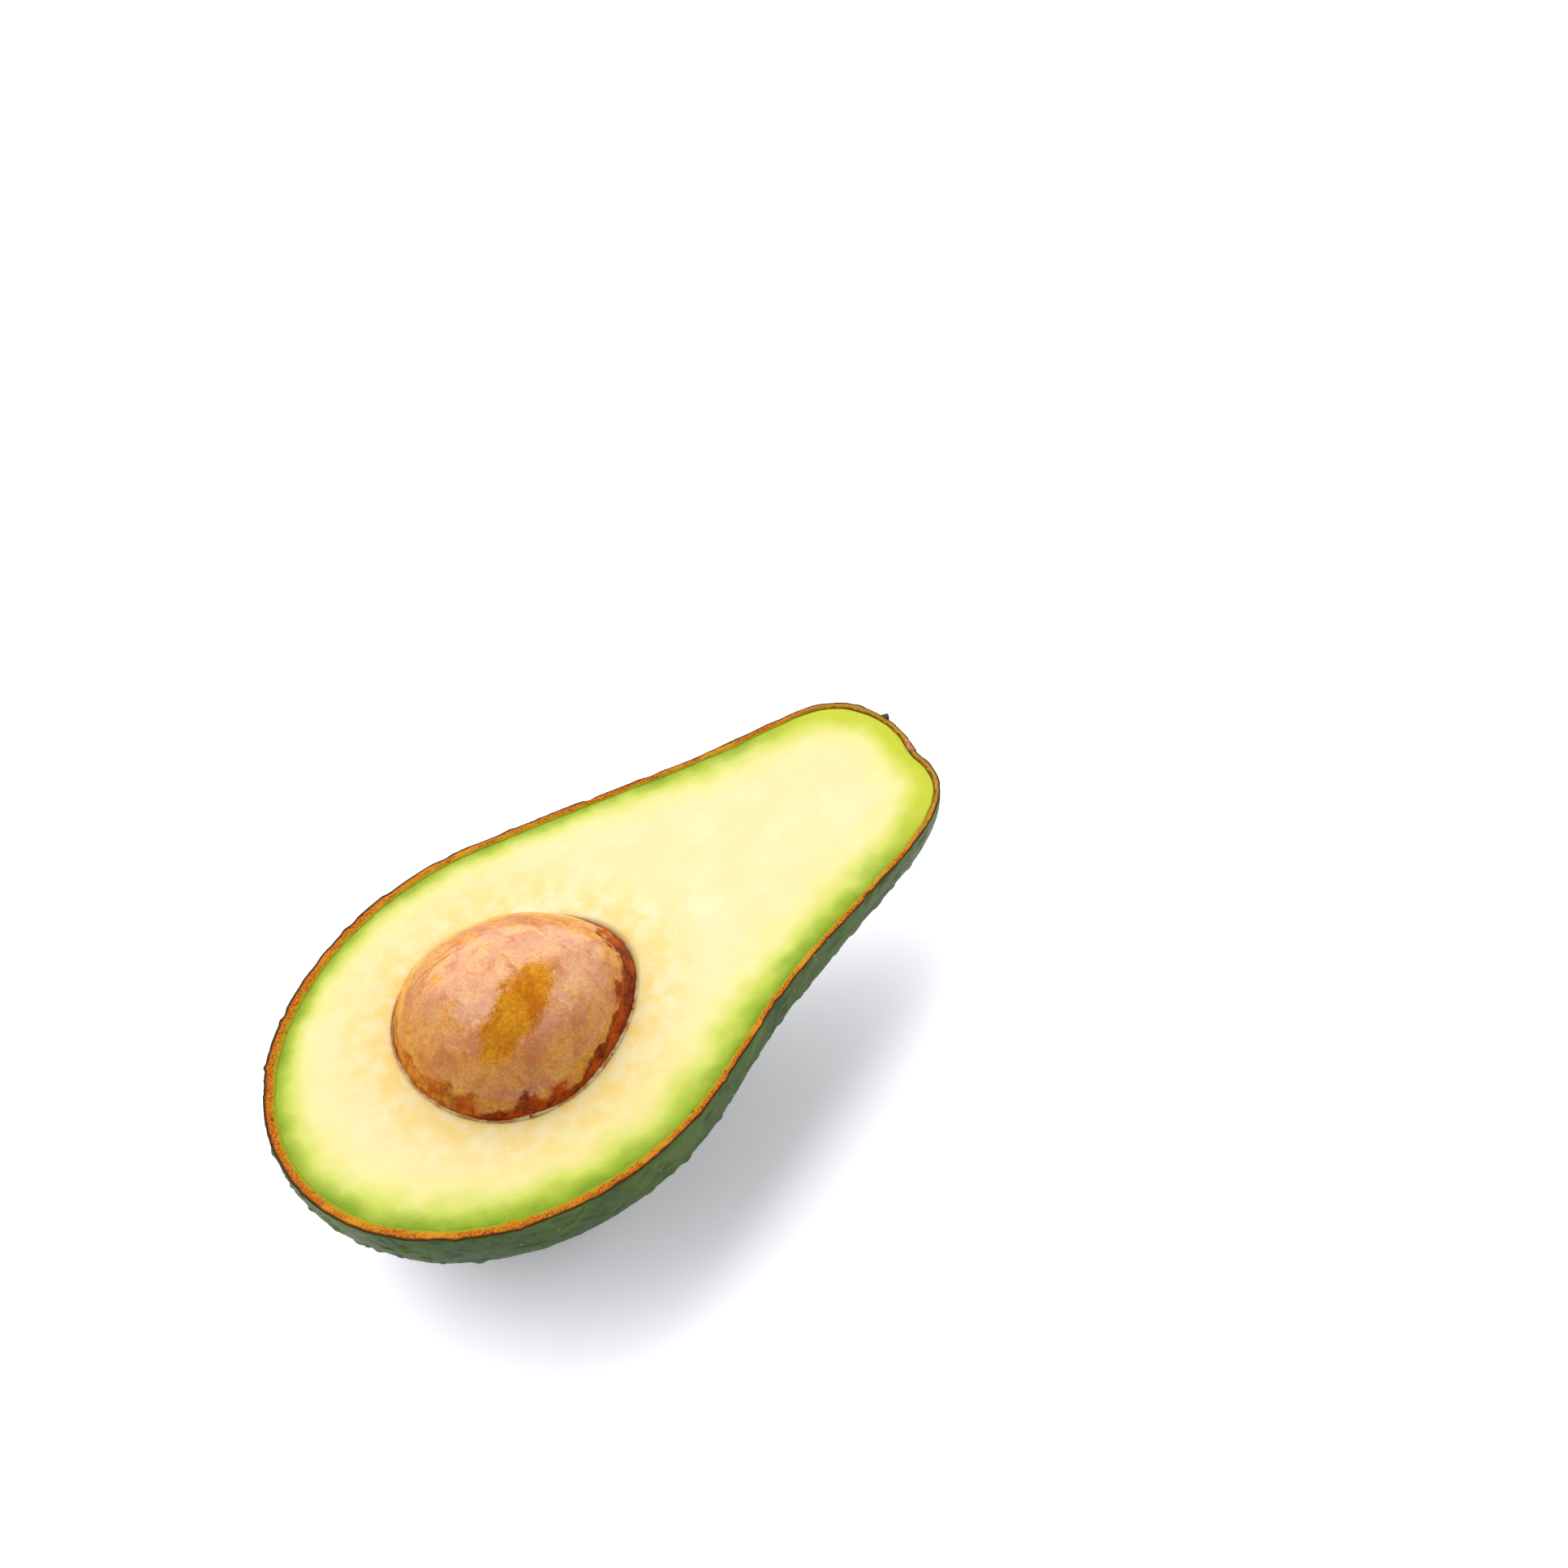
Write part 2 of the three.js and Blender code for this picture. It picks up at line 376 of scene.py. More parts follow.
# %% [markdown]
# ## Small tools for materials
# Materials are made of nodes, which could be placed and joined by hand in the shader editor.
# In a script one small class does it, so that a step of a recipe is one line. Colours are
# given on the usual 0 to 255 scale, and sizes in millimetres of the real fruit.

# %% Colours and nodes
def colour(red, green, blue):
    """A colour given on the usual 0 to 255 scale, as the shader wants it."""
    linear = []
    for part in (red, green, blue):
        part = part / 255
        linear.append(part / 12.92 if part <= 0.04045 else ((part + 0.055) / 1.055) ** 2.4)
    return (*linear, 1.0)


class Nodes:
    """Adds nodes to a tree and joins them up, with values given by socket name."""

    def __init__(self, tree):
        self.tree = tree

    def add(self, kind, inputs=None, **settings):
        node = self.tree.nodes.new(kind)
        for name, value in settings.items():
            setattr(node, name, value)
        for name, value in (inputs or {}).items():
            if isinstance(value, bpy.types.NodeSocket):
                self.tree.links.new(value, node.inputs[name])
            else:
                node.inputs[name].default_value = value
        return node

    def math(self, operation, first, second=0.0, third=0.0):
        node = self.add("ShaderNodeMath", {0: first, 1: second, 2: third}, operation=operation)
        return node.outputs[0]

    def mix(self, share, first, second):
        node = self.add("ShaderNodeMix", data_type="RGBA")
        for socket, value in zip((0, 6, 7), (share, first, second)):
            if isinstance(value, bpy.types.NodeSocket):
                self.tree.links.new(value, node.inputs[socket])
            else:
                node.inputs[socket].default_value = value
        return node.outputs[2]

    def span(self, value, low, high, first=0.0, last=1.0):
        node = self.add(
            "ShaderNodeMapRange",
            {"Value": value, "From Min": low, "From Max": high, "To Min": first, "To Max": last},
            interpolation_type="SMOOTHSTEP",
        )
        return node.outputs["Result"]

    def value(self, name):
        return self.add("ShaderNodeAttribute", attribute_name=name).outputs["Fac"]

    def ramp(self, factor, stops):
        node = self.add("ShaderNodeValToRGB", {"Fac": factor})
        elements = node.color_ramp.elements
        elements[0].position, elements[0].color = stops[0]
        elements[1].position, elements[1].color = stops[-1]
        for position, shade in stops[1:-1]:
            elements.new(position).color = shade
        return node.outputs["Color"]

    def millimetres(self):
        place = self.add("ShaderNodeTexCoord").outputs["Object"]
        scaled = self.add("ShaderNodeVectorMath", {0: place, 3: 1 / MM}, operation="SCALE")
        return scaled.outputs[0]

    def group(self, tree, inputs):
        node = self.add("ShaderNodeGroup")
        node.node_tree = tree
        for name, value in inputs.items():
            if isinstance(value, bpy.types.NodeSocket):
                self.tree.links.new(value, node.inputs[name])
            else:
                node.inputs[name].default_value = value
        return node.outputs[0]


print("Leaf green for the shader:", [round(v, 3) for v in colour(80, 108, 10)])

# %% New groups and materials
def new_group(name, inputs, output):
    """A node group with named inputs and one output, and its group nodes."""
    tree = bpy.data.node_groups.new(name, "ShaderNodeTree")
    for input_name, kind, value in inputs:
        socket = tree.interface.new_socket(input_name, in_out="INPUT", socket_type=kind)
        if value is not None:
            socket.default_value = value
    tree.interface.new_socket(output[0], in_out="OUTPUT", socket_type=output[1])
    nodes = Nodes(tree)
    return tree, nodes, nodes.add("NodeGroupInput").outputs, nodes.add("NodeGroupOutput").inputs


def new_material(name, **constants):
    """A material with its own Principled shader, whose plain values are set by name."""
    material = bpy.data.materials.new(name)
    material.use_nodes = True
    shader = material.node_tree.nodes["Principled BSDF"]
    for socket, value in constants.items():
        shader.inputs[socket.replace("_", " ")].default_value = value
    return material, Nodes(material.node_tree), shader


# %% [markdown]
# ## Shared effects
# Three effects come back in several materials, so each is a node group that is built once.
# "Clouds" mixes two colours by soft noise, for ripeness and bruises. "Specks" marks scattered
# round dots. "Fibres" gives fine streaks along the fruit.

# %% Clouds
FLOAT = "NodeSocketFloat"
COLOUR = "NodeSocketColor"
VECTOR = "NodeSocketVector"

clouds, g, given, result = new_group(
    "Clouds",
    [
        ("Place", VECTOR, None), ("Size mm", FLOAT, 5.0), ("Roughness", FLOAT, 0.5),
        ("Low", FLOAT, 0.4), ("High", FLOAT, 0.6),
        ("First", COLOUR, None), ("Second", COLOUR, None),
    ],
    ("Colour", COLOUR),
)
cloud_noise = g.add("ShaderNodeTexNoise", {
    "Vector": given["Place"], "Scale": g.math("DIVIDE", 1.0, given["Size mm"]),
    "Detail": 4.0, "Roughness": given["Roughness"],
})
cloud_share = g.span(cloud_noise.outputs["Fac"], given["Low"], given["High"])
g.tree.links.new(g.mix(cloud_share, given["First"], given["Second"]), result["Colour"])
print("Clouds has", len(g.tree.nodes), "nodes")

# %% Specks
specks, g, given, result = new_group(
    "Specks",
    [
        ("Place", VECTOR, None), ("Spacing mm", FLOAT, 3.0), ("Radius", FLOAT, 0.15),
        ("Share", FLOAT, 0.5), ("Blur", FLOAT, 0.06),
    ],
    ("Mask", FLOAT),
)
dots = g.add("ShaderNodeTexVoronoi", {
    "Vector": given["Place"], "Scale": g.math("DIVIDE", 1.0, given["Spacing mm"]),
})
dot_pick = g.add("ShaderNodeSeparateColor", {"Color": dots.outputs["Color"]}).outputs[0]
dot_chosen = g.math("LESS_THAN", dot_pick, given["Share"])
dot_size = g.math("MULTIPLY", given["Radius"], g.math("ADD", 0.5, dot_pick))
dot_edge = g.span(
    dots.outputs["Distance"], dot_size, g.math("ADD", dot_size, given["Blur"]), 1.0, 0.0
)
g.tree.links.new(g.math("MULTIPLY", dot_edge, dot_chosen), result["Mask"])
print("Specks has", len(g.tree.nodes), "nodes")

# %% Fibres
fibres, g, given, result = new_group(
    "Fibres",
    [
        ("Place", VECTOR, None), ("Width mm", FLOAT, 0.4), ("Stretch", VECTOR, (0.1, 1, 1)),
        ("Contrast", FLOAT, 0.15),
    ],
    ("Value", FLOAT),
)
drawn_out = g.add(
    "ShaderNodeVectorMath", {0: given["Place"], 1: given["Stretch"]}, operation="MULTIPLY"
)
fibre_noise = g.add("ShaderNodeTexNoise", {
    "Vector": drawn_out.outputs[0], "Scale": g.math("DIVIDE", 1.0, given["Width mm"]),
    "Detail": 3.0, "Roughness": 0.55,
})
fibre_value = g.span(
    fibre_noise.outputs["Fac"],
    g.math("SUBTRACT", 0.5, given["Contrast"]),
    g.math("ADD", 0.5, given["Contrast"]),
)
g.tree.links.new(fibre_value, result["Value"])
print("Node groups:", [tree.name for tree in bpy.data.node_groups])

# %% [markdown]
# ## Peel: surface
# The skin of this kind is smooth to the hand but not flat: soft ridges and narrow hollows
# drawn out along the fruit, and among them pores that healed into small oval bumps, some
# with a corky top. Towards the stem it gets smoother. The same function gives the height
# and the masks that the material colours by, so paint and shape always agree.

# %% Skin relief
def skin_relief(points):
    """Height in mm, share of raised skin and share of cork at points in mm."""
    calm = 1 - 0.5 * ease(points[..., 0], 25, 52)
    wander = np.stack([soft_noise(points, 6.0, seed) for seed in (11, 12, 13)], -1)
    bent = points + 1.3 * wander
    swell = soft_noise(points, 11.0, 51)
    ridge = rough_noise(bent, (6.0, 1.9, 1.9), 41)
    hollow = ease(rough_noise(bent, (4.2, 1.7, 1.7), 31, 2), 0.05, 0.75)
    low_part = 0.22 * ridge - 0.3 * hollow
    near, pick = scattered_cells(bent, (4.2, 2.9, 2.9), 61)
    across = near / (0.2 + 0.2 * pick)
    wart = np.where(pick < 0.75, np.clip(1 - across ** 2, 0, 1), 0)
    height = calm * (low_part + 0.32 * wart ** 0.8) + 0.15 * swell
    cork = np.where(pick < 0.22, ease(wart, 0.4, 0.8), 0)
    return height, ease(low_part + 0.25 * wart, -0.3, 0.15), cork


print("Relief at the rim is up to", skin_relief(peel_outer)[0].max().round(2), "mm high")

# %% [markdown]
# ## Peel: mesh
# One closed shell: the outside sheet with its relief, the narrow cut edge, and the plain
# inside that the flesh hides. The cut edge is a band 1 to 2 mm wide. The knife drags its
# grainy tissue a little, so it stands slightly proud of the flesh and wavers. A displaced
# copy of the CAD mesh would be quicker, but its faces are too few for bumps this small.

# %% Outside of the peel
SKIN_COLUMNS = 220
SKIN_INSET = 0.2
FLATTENED = 0.25
CLOSER_AT_RIM = 0.055


def outward(points):
    """Unit normals of a sheet of points that has stations as rows."""
    along = np.gradient(points, axis=0)
    across = np.gradient(points, axis=1)
    normal = np.cross(along, across)
    length = np.linalg.norm(normal, axis=2, keepdims=True)
    normal = normal / np.maximum(length, 1e-9)
    middle = points.mean(axis=(0, 1)) + np.array([0, 0, 12.0])
    facing = np.sum(normal * (points - middle), axis=2, keepdims=True)
    return normal * np.where(facing.mean() < 0, -1, 1)


column = np.linspace(0, 1, SKIN_COLUMNS + 1)
skin_angles = math.pi * (column - CLOSER_AT_RIM * np.sin(2 * math.pi * column))
skin = back_sheet(peel_outer, peel_shares, skin_angles)
skin_normal = outward(skin)
skin_normal[0] = (-1, 0, 0)
skin_normal[-1] = (1, 0, 0)
skin_height, skin_raised, skin_cork = skin_relief(skin)
skin = skin + skin_normal * (skin_height - SKIN_INSET)[..., None]
skin[..., 2] = np.minimum(skin[..., 2], CUT_Z)
pressed = FLATTENED * np.exp(skin[..., 2] / FLATTENED - 1)
skin[..., 2] = np.where(skin[..., 2] < FLATTENED, pressed, skin[..., 2])
print("Skin relief runs from", skin_height.min().round(2), "to", skin_height.max().round(2), "mm")

peel = Builder("cut", "band", "raised", "cork", "tip")
skin_numbers = np.zeros((SIDE + 1, SKIN_COLUMNS + 1), int)
for end in (0, SIDE):
    skin_numbers[end] = peel.add(skin[end, :1], raised=0.5)[0]
skin_numbers[1:-1] = peel.add(skin[1:-1], raised=skin_raised[1:-1], cork=skin_cork[1:-1])
for station in range(SIDE):
    first = skin_numbers[station] if station else skin_numbers[0, :1]
    second = skin_numbers[station + 1] if station + 1 < SIDE else skin_numbers[SIDE, :1]
    peel.join(first, second, closed=False)

# %% Cut edge and inside of the peel
HIDDEN_COLUMNS = 14
BAND_PROUD = 0.10
BAND_START = 0.04
BAND_SUNK = 0.07


def as_ring(sheet):
    """The border of a sheet of stations as one closed ring, like the outlines."""
    return np.concatenate([sheet[: SIDE + 1, 0], sheet[SIDE - 1: 0: -1, -1]])


def fill_sheet(builder, ring_numbers, sheet, **values):
    """Joins a closed ring of points to the columns of a hidden sheet inside it."""
    inner = builder.add(sheet[1:-1, 1:-1], **values)
    for station in range(SIDE):
        rows = []
        for at in (station, station + 1):
            if at in (0, SIDE):
                rows.append(ring_numbers[at: at + 1])
            else:
                ends = (ring_numbers[at: at + 1], ring_numbers[RING - at: RING - at + 1])
                rows.append(np.concatenate([ends[0], inner[at - 1], ends[1]]))
        builder.join(rows[0], rows[1], closed=False, flip=True)


rim = as_ring(skin)
rim_numbers = as_ring(skin_numbers)
inward = peel_inner - peel_outer
inward = inward / np.linalg.norm(inward, axis=1, keepdims=True)
waver = 0.15 + 0.14 * rough_noise(flesh_outer, 1.8, 71)
band_edge = flesh_outer + inward * waver[:, None]
previous = rim_numbers
band_shares = np.array([0.06, 0.16, 0.3, 0.45, 0.6, 0.74, 0.87, 0.96, 1.0])
for share in band_shares:
    row = rim + (band_edge - rim) * share
    grain = rough_noise(row, 0.9, 81)
    proud = BAND_PROUD * math.sin(math.pi * min(share * 1.15, 1.0)) ** 0.5
    row[:, 2] = CUT_Z + proud * (1 + 0.8 * grain) + 0.05 * grain
    if share < 0.1:
        row[:, 2] = CUT_Z + BAND_START
    if share == 1.0:
        row[:, 2] = CUT_Z - BAND_SUNK
    numbers = peel.add(row, cut=1.0, band=share, raised=0.5, tip=ease(row[:, 0], 44, 56))
    peel.join(previous, numbers)
    previous = numbers
hidden_angles = np.linspace(0, math.pi, HIDDEN_COLUMNS + 1)
lining = back_sheet(peel_inner, peel_shares, hidden_angles)
fill_sheet(peel, previous, lining, cut=1.0, band=1.0, raised=0.5)
print("The peel's cut edge is", np.linalg.norm(band_edge - rim, axis=1).mean().round(2), "mm wide")

# %% [markdown]
# ## Peel: material
# Deep green, with painted shade in the hollows, fine lighter streaks, tiny yellow specks and
# brown cork on some bumps. The skin's wax is a thin coat on the shader that ends at the knife
# cut, because the cut edge is dry. The cut edge shows orange-brown grains where the air has
# browned it, with a dark line just inside the skin, and is more olive near the stem.

# %% Skin colours
peel_material, n, shader = new_material(
    "peel", Roughness=0.5, IOR=1.45, Specular_IOR_Level=0.08, Coat_Roughness=0.27
)
place = n.millimetres()
skin_green = n.group(clouds, {
    "Place": place, "Size mm": 9.0, "Roughness": 0.6, "Low": 0.36, "High": 0.66,
    "First": colour(46, 76, 4), "Second": colour(80, 108, 10),
})
streak = n.group(fibres, {
    "Place": place, "Width mm": 0.45, "Stretch": (0.12, 1, 1), "Contrast": 0.2,
})
skin_green = n.mix(n.math("MULTIPLY", streak, 0.25), skin_green, colour(112, 142, 52))
# Painted shade: the hollows between the raised skin are darkened here to stand in for the shade that
# falls in them.
painted_hollow_shade = n.span(n.value("raised"), 0.0, 0.9, 0.5, 0.0)
skin_green = n.mix(painted_hollow_shade, skin_green, colour(24, 56, 12))
yellow = n.group(specks, {
    "Place": place, "Spacing mm": 1.7, "Radius": 0.1, "Share": 0.55, "Blur": 0.06,
})
skin_green = n.mix(n.math("MULTIPLY", yellow, 0.7), skin_green, colour(178, 178, 96))
dark_spots = n.group(specks, {
    "Place": place, "Spacing mm": 4.2, "Radius": 0.09, "Share": 0.3, "Blur": 0.04,
})
skin_green = n.mix(dark_spots, skin_green, colour(38, 40, 18))
cork_brown = n.group(clouds, {
    "Place": place, "Size mm": 0.8, "Roughness": 0.6, "Low": 0.4, "High": 0.6,
    "First": colour(96, 76, 36), "Second": colour(132, 116, 62),
})
skin_colour = n.mix(n.math("MULTIPLY", n.value("cork"), 0.85), skin_green, cork_brown)
print("The skin has", len(n.tree.nodes), "nodes so far")

# %% Cut edge colours and wax
band = n.value("band")
grains = n.group(clouds, {
    "Place": place, "Size mm": 0.34, "Roughness": 0.75, "Low": 0.4, "High": 0.6,
    "First": colour(204, 118, 10), "Second": colour(140, 64, 2),
})
patches = n.group(clouds, {
    "Place": place, "Size mm": 7.0, "Roughness": 0.5, "Low": 0.5, "High": 0.66,
    "First": colour(0, 0, 0), "Second": colour(255, 255, 255),
})
grains = n.mix(n.math("MULTIPLY", patches, 0.5), grains, colour(218, 152, 30))
tip = n.value("tip")
grains = n.mix(n.math("MULTIPLY", tip, 0.7), grains, colour(158, 126, 30))
outer_line = n.span(band, 0.12, 0.36, 1.0, 0.0)
band_colour = n.mix(outer_line, grains, colour(60, 36, 10))
crumble = n.add("ShaderNodeTexNoise", {"Vector": place, "Scale": 1.1, "Detail": 4.0})
crumble = n.math("MULTIPLY", n.math("SUBTRACT", crumble.outputs["Fac"], 0.5), 1.1)
crumbled = n.math("ADD", band, crumble)
inner_colour = n.mix(tip, colour(146, 144, 18), colour(84, 54, 10))
inner_line = n.span(crumbled, 0.6, 0.88, 0.0, 0.9)
band_colour = n.mix(inner_line, band_colour, inner_colour)
nicks = n.group(specks, {
    "Place": place, "Spacing mm": 2.6, "Radius": 0.12, "Share": 0.35, "Blur": 0.1,
})
band_colour = n.mix(n.math("MULTIPLY", nicks, 0.8), band_colour, colour(70, 40, 10))
peel_colour = n.mix(n.value("cut"), skin_colour, band_colour)
n.tree.links.new(peel_colour, shader.inputs["Base Color"])
pore = n.add("ShaderNodeTexNoise", {"Vector": place, "Scale": 2.2, "Detail": 4.0})
relief = n.math("ADD", n.math("MULTIPLY", streak, 0.6), pore.outputs["Fac"])
bump = n.add("ShaderNodeBump", {"Height": relief, "Distance": 0.00008, "Strength": 0.6})
n.tree.links.new(bump.outputs[0], shader.inputs["Normal"])
wax = n.span(n.value("cut"), 0.0, 1.0, 0.6, 0.0)
n.tree.links.new(wax, shader.inputs["Coat Weight"])
peel.make("peel", "peel", peel_material)

# %% [markdown]
# ## The egg shape of the stone
# The stone, the seed coat round it and the bed in the flesh are one egg at three sizes: an
# ellipsoid whose sides swell towards the blossom end. A small function gives how far the egg
# reaches from its centre in any direction, so that all three fit each other exactly.

# %% Egg function
stone_low, stone_high = [np.array(corner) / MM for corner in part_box("stone")]
BLUNTNESS = 0.165
TURN = math.radians(-1.7)
STONE_HALF = (stone_high - stone_low) / 2 / np.array([1.0, 1.014, 1.014])
STONE_MIDDLE = (stone_high + stone_low) / 2
BED_GROW = 0.38


def egg_reach(ways, grow):
    """Distance from the stone's middle to an egg `grow` mm larger, along unit vectors."""
    x = ways[..., 0] * math.cos(TURN) + ways[..., 1] * math.sin(TURN)
    y = ways[..., 1] * math.cos(TURN) - ways[..., 0] * math.sin(TURN)
    z = ways[..., 2]
    size = STONE_HALF + grow
    low = np.full(x.shape, 5.0)
    high = np.full(x.shape, 30.0)
    for _ in range(36):
        reach = (low + high) / 2
        along = x * reach / size[0]
        swell = np.maximum(1 - BLUNTNESS * along, 0.2)
        inside = along ** 2 + ((y / size[1]) ** 2 + (z / size[2]) ** 2) * (reach / swell) ** 2 < 1
        low = np.where(inside, reach, low)
        high = np.where(inside, high, reach)
    return low


def ways_at(headings, heights):
    """Unit vectors from headings round the stone and heights above its middle, in radians."""
    flat = np.cos(heights)
    return np.stack([flat * np.cos(headings), flat * np.sin(headings), np.sin(heights)], -1)


def height_at_cut(headings, grow, above=0.0):
    """The angle up to the line where the egg passes through the cut face."""
    angle = np.zeros(headings.shape)
    for _ in range(14):
        reach = egg_reach(ways_at(headings, angle), grow)
        angle = np.arcsin((CUT_Z + above - STONE_MIDDLE[2]) / reach)
    return angle


print("Stone half-sizes", STONE_HALF.round(2), "middle", STONE_MIDDLE.round(2))

# %% [markdown]
# ## Flesh: mesh
# The cut face is a web of straight lines from the rim to the edge of the stone's bed, with
# slow waves of a fraction of a millimetre from the knife and rounded edges. The bed goes on
# down the egg, and the back follows the inside of the peel. Four values are stored: how far
# a point is from the rim, how far from the stone, how wide the green zone is there, and how
# near the stem it is.

# %% Edges of the cut face
FACE_ROWS = 60
BED_ROWS = 12
ROUNDED_OVER = 0.35
flesh = Builder("rim_mm", "stone_mm", "green_mm", "tip")
rim_away = flesh_outer[:, :2] - STONE_MIDDLE[:2]
headings = np.arctan2(rim_away[:, 1], rim_away[:, 0])
bed_angle = height_at_cut(headings, BED_GROW)
bed_way = ways_at(headings, bed_angle)
bed_edge = STONE_MIDDLE + bed_way * egg_reach(bed_way, BED_GROW)[:, None]
bed_edge[:, 2] = CUT_Z


def rim_distance(points):
    """Distance in mm from points to the flesh outline."""
    start = flesh_outer[::2, :2]
    step = np.roll(start, -1, 0) - start
    best = np.full(len(points), 1e9)
    for a, ab in zip(start, step):
        t = np.clip((points[:, :2] - a) @ ab / (ab @ ab), 0, 1)
        apart = np.linalg.norm(points[:, :2] - a - t[:, None] * ab, axis=1)
        best = np.minimum(best, apart)
    return best


print("The cut face is", rim_distance(bed_edge).min().round(1), "mm wide where it is narrowest")

# %% Cut face of the flesh
near_side = ease(-np.sin(headings + 0.35), -0.5, 0.7)
tip_side = ease(flesh_outer[:, 0], 10, 45)
green_width = 4.0 + 4.4 * near_side + 2.2 * tip_side
face_shares = np.linspace(0, 1, FACE_ROWS + 1)
face_shares = face_shares ** 1.25
previous = None
for share in face_shares:
    row = flesh_outer + (bed_edge - flesh_outer) * share
    from_rim = rim_distance(row)
    from_stone = np.linalg.norm(row - bed_edge, axis=1)
    wave = 0.10 * rough_noise(row, (16, 9, 9), 91) + 0.03 * rough_noise(row, (3, 1.6, 2), 92)
    fade = ease(from_rim, 0, 1.2) * ease(from_stone, 0, 1.0)
    dip = 0.16 + 0.12 * rough_noise(row, 2.5, 93)
    fall = 0.10 * np.exp(-from_rim / ROUNDED_OVER) + dip * np.exp(-from_stone / ROUNDED_OVER)
    row[:, 2] = CUT_Z + wave * fade - fall
    values = {"rim_mm": from_rim, "stone_mm": from_stone, "green_mm": green_width}
    numbers = flesh.add(row, tip=ease(row[:, 0], 36, 54), **values)
    if previous is None:
        flesh_rim = numbers
    else:
        flesh.join(previous, numbers)
    previous = numbers
print("The green zone is", green_width.min().round(1), "to", green_width.max().round(1), "mm wide")

# %% Bed and back of the flesh
for step in range(1, BED_ROWS):
    angle = bed_angle + (-math.pi / 2 - bed_angle) * (step / BED_ROWS) - 0.02
    way = ways_at(headings, angle)
    row = STONE_MIDDLE + way * egg_reach(way, BED_GROW)[:, None]
    numbers = flesh.add(row, rim_mm=20.0, stone_mm=0.0, green_mm=8.0)
    flesh.join(previous, numbers)
    previous = numbers
bottom = np.array([[0.0, 0.0, -1.0]])
pole = STONE_MIDDLE + bottom * egg_reach(bottom, BED_GROW)[:, None]
flesh.join(previous, flesh.add(pole, rim_mm=20.0, green_mm=8.0))
flesh_back = back_sheet(flesh_outer, flesh_shares, hidden_angles)
fill_sheet(flesh, flesh_rim, flesh_back, rim_mm=0.0, stone_mm=15.0, green_mm=8.0)
print("The bed is", (CUT_Z - pole[0, 2]).round(1), "mm deep")

# %% [markdown]
# ## Flesh: material
# Ripe flesh is creamy yellow, turns lime and then green within a few millimetres of the
# peel, and is warmer and blotchy next to the stone. It is moist, so it has a soft sheen, and
# light goes a little way in. In the neck, faint veins run lengthwise.

# %% Flesh material
flesh_material, n, shader = new_material(
    "flesh", Roughness=0.45, IOR=1.4, Specular_IOR_Level=0.2,
    Subsurface_Weight=0.15, Subsurface_Scale=0.002,
)
shader.inputs["Subsurface Radius"].default_value = (1.0, 0.8, 0.35)
place = n.millimetres()
uneven = n.add("ShaderNodeTexNoise", {"Vector": place, "Scale": 0.22, "Detail": 4.0})
uneven = n.math("MULTIPLY", n.math("SUBTRACT", uneven.outputs["Fac"], 0.5), 0.55)
zone = n.math("ADD", n.math("DIVIDE", n.value("rim_mm"), n.value("green_mm")), uneven)
zone = n.math("MULTIPLY", zone, 0.7)
flesh_colour = n.ramp(zone, [
    (0.0, colour(116, 146, 14)),
    (0.13, colour(148, 170, 34)),
    (0.31, colour(194, 202, 84)),
    (0.58, colour(226, 214, 140)),
    (1.0, colour(230, 213, 156)),
])
tip_yellow = n.span(zone, 0.0, 0.55, 0.75, 0.0)
tip_yellow = n.math("MULTIPLY", tip_yellow, n.value("tip"))
flesh_colour = n.mix(tip_yellow, flesh_colour, colour(200, 200, 40))
pale = n.add("ShaderNodeTexNoise", {"Vector": place, "Scale": 0.14, "Detail": 3.0})
pale = n.span(pale.outputs["Fac"], 0.4, 0.62, 0.0, 0.28)
flesh_colour = n.mix(n.math("MULTIPLY", pale, zone), flesh_colour, colour(232, 222, 180))
warm = n.span(n.value("stone_mm"), 0.0, 13.0, 0.85, 0.0)
blotch = n.add("ShaderNodeTexNoise", {"Vector": place, "Scale": 0.4, "Detail": 5.0})
blotch = n.span(blotch.outputs["Fac"], 0.34, 0.66)
flesh_colour = n.mix(n.math("MULTIPLY", warm, blotch), flesh_colour, colour(232, 198, 108))
veins = n.group(fibres, {
    "Place": place, "Width mm": 0.9, "Stretch": (0.08, 1, 1), "Contrast": 0.16,
})
veins = n.math("MULTIPLY", veins, n.span(zone, 0.15, 0.7, 0.03, 0.16))
flesh_colour = n.mix(veins, flesh_colour, colour(224, 206, 116))
n.tree.links.new(flesh_colour, shader.inputs["Base Color"])
fine = n.add("ShaderNodeTexNoise", {"Vector": place, "Scale": 1.6, "Detail": 5.0})
bump = n.add("ShaderNodeBump", {"Height": fine.outputs["Fac"], "Distance": 0.0001, "Strength": 0.35})
n.tree.links.new(bump.outputs[0], shader.inputs["Normal"])
flesh.make("flesh", "flesh", flesh_material)

# %% [markdown]
# ## Stone: mesh
# A smooth hard egg that is slightly lumpy, with shallow dents and one fine crease where its
# two halves meet. Its skin is thin brown paper glued to it, so the relief is very low. It is
# a grid round the long axis, and the noise moves each point straight out. Sculpting would do
# as well, but could not be repeated.

# %% Grid of the egg
STONE_ROWS = 170
STONE_COLUMNS = 220


def stone_points(lengthwise, around):
    """Points of the egg from its pole angle and the angle round its long axis."""
    along = -np.cos(lengthwise)
    swell = 1 - BLUNTNESS * along
    wide = np.sin(lengthwise) * swell
    local = np.stack([
        along * STONE_HALF[0],
        wide * np.cos(around) * STONE_HALF[1],
        wide * np.sin(around) * STONE_HALF[2],
    ], -1)
    turned = local.copy()
    turned[..., 0] = local[..., 0] * math.cos(TURN) - local[..., 1] * math.sin(TURN)
    turned[..., 1] = local[..., 0] * math.sin(TURN) + local[..., 1] * math.cos(TURN)
    return turned + STONE_MIDDLE


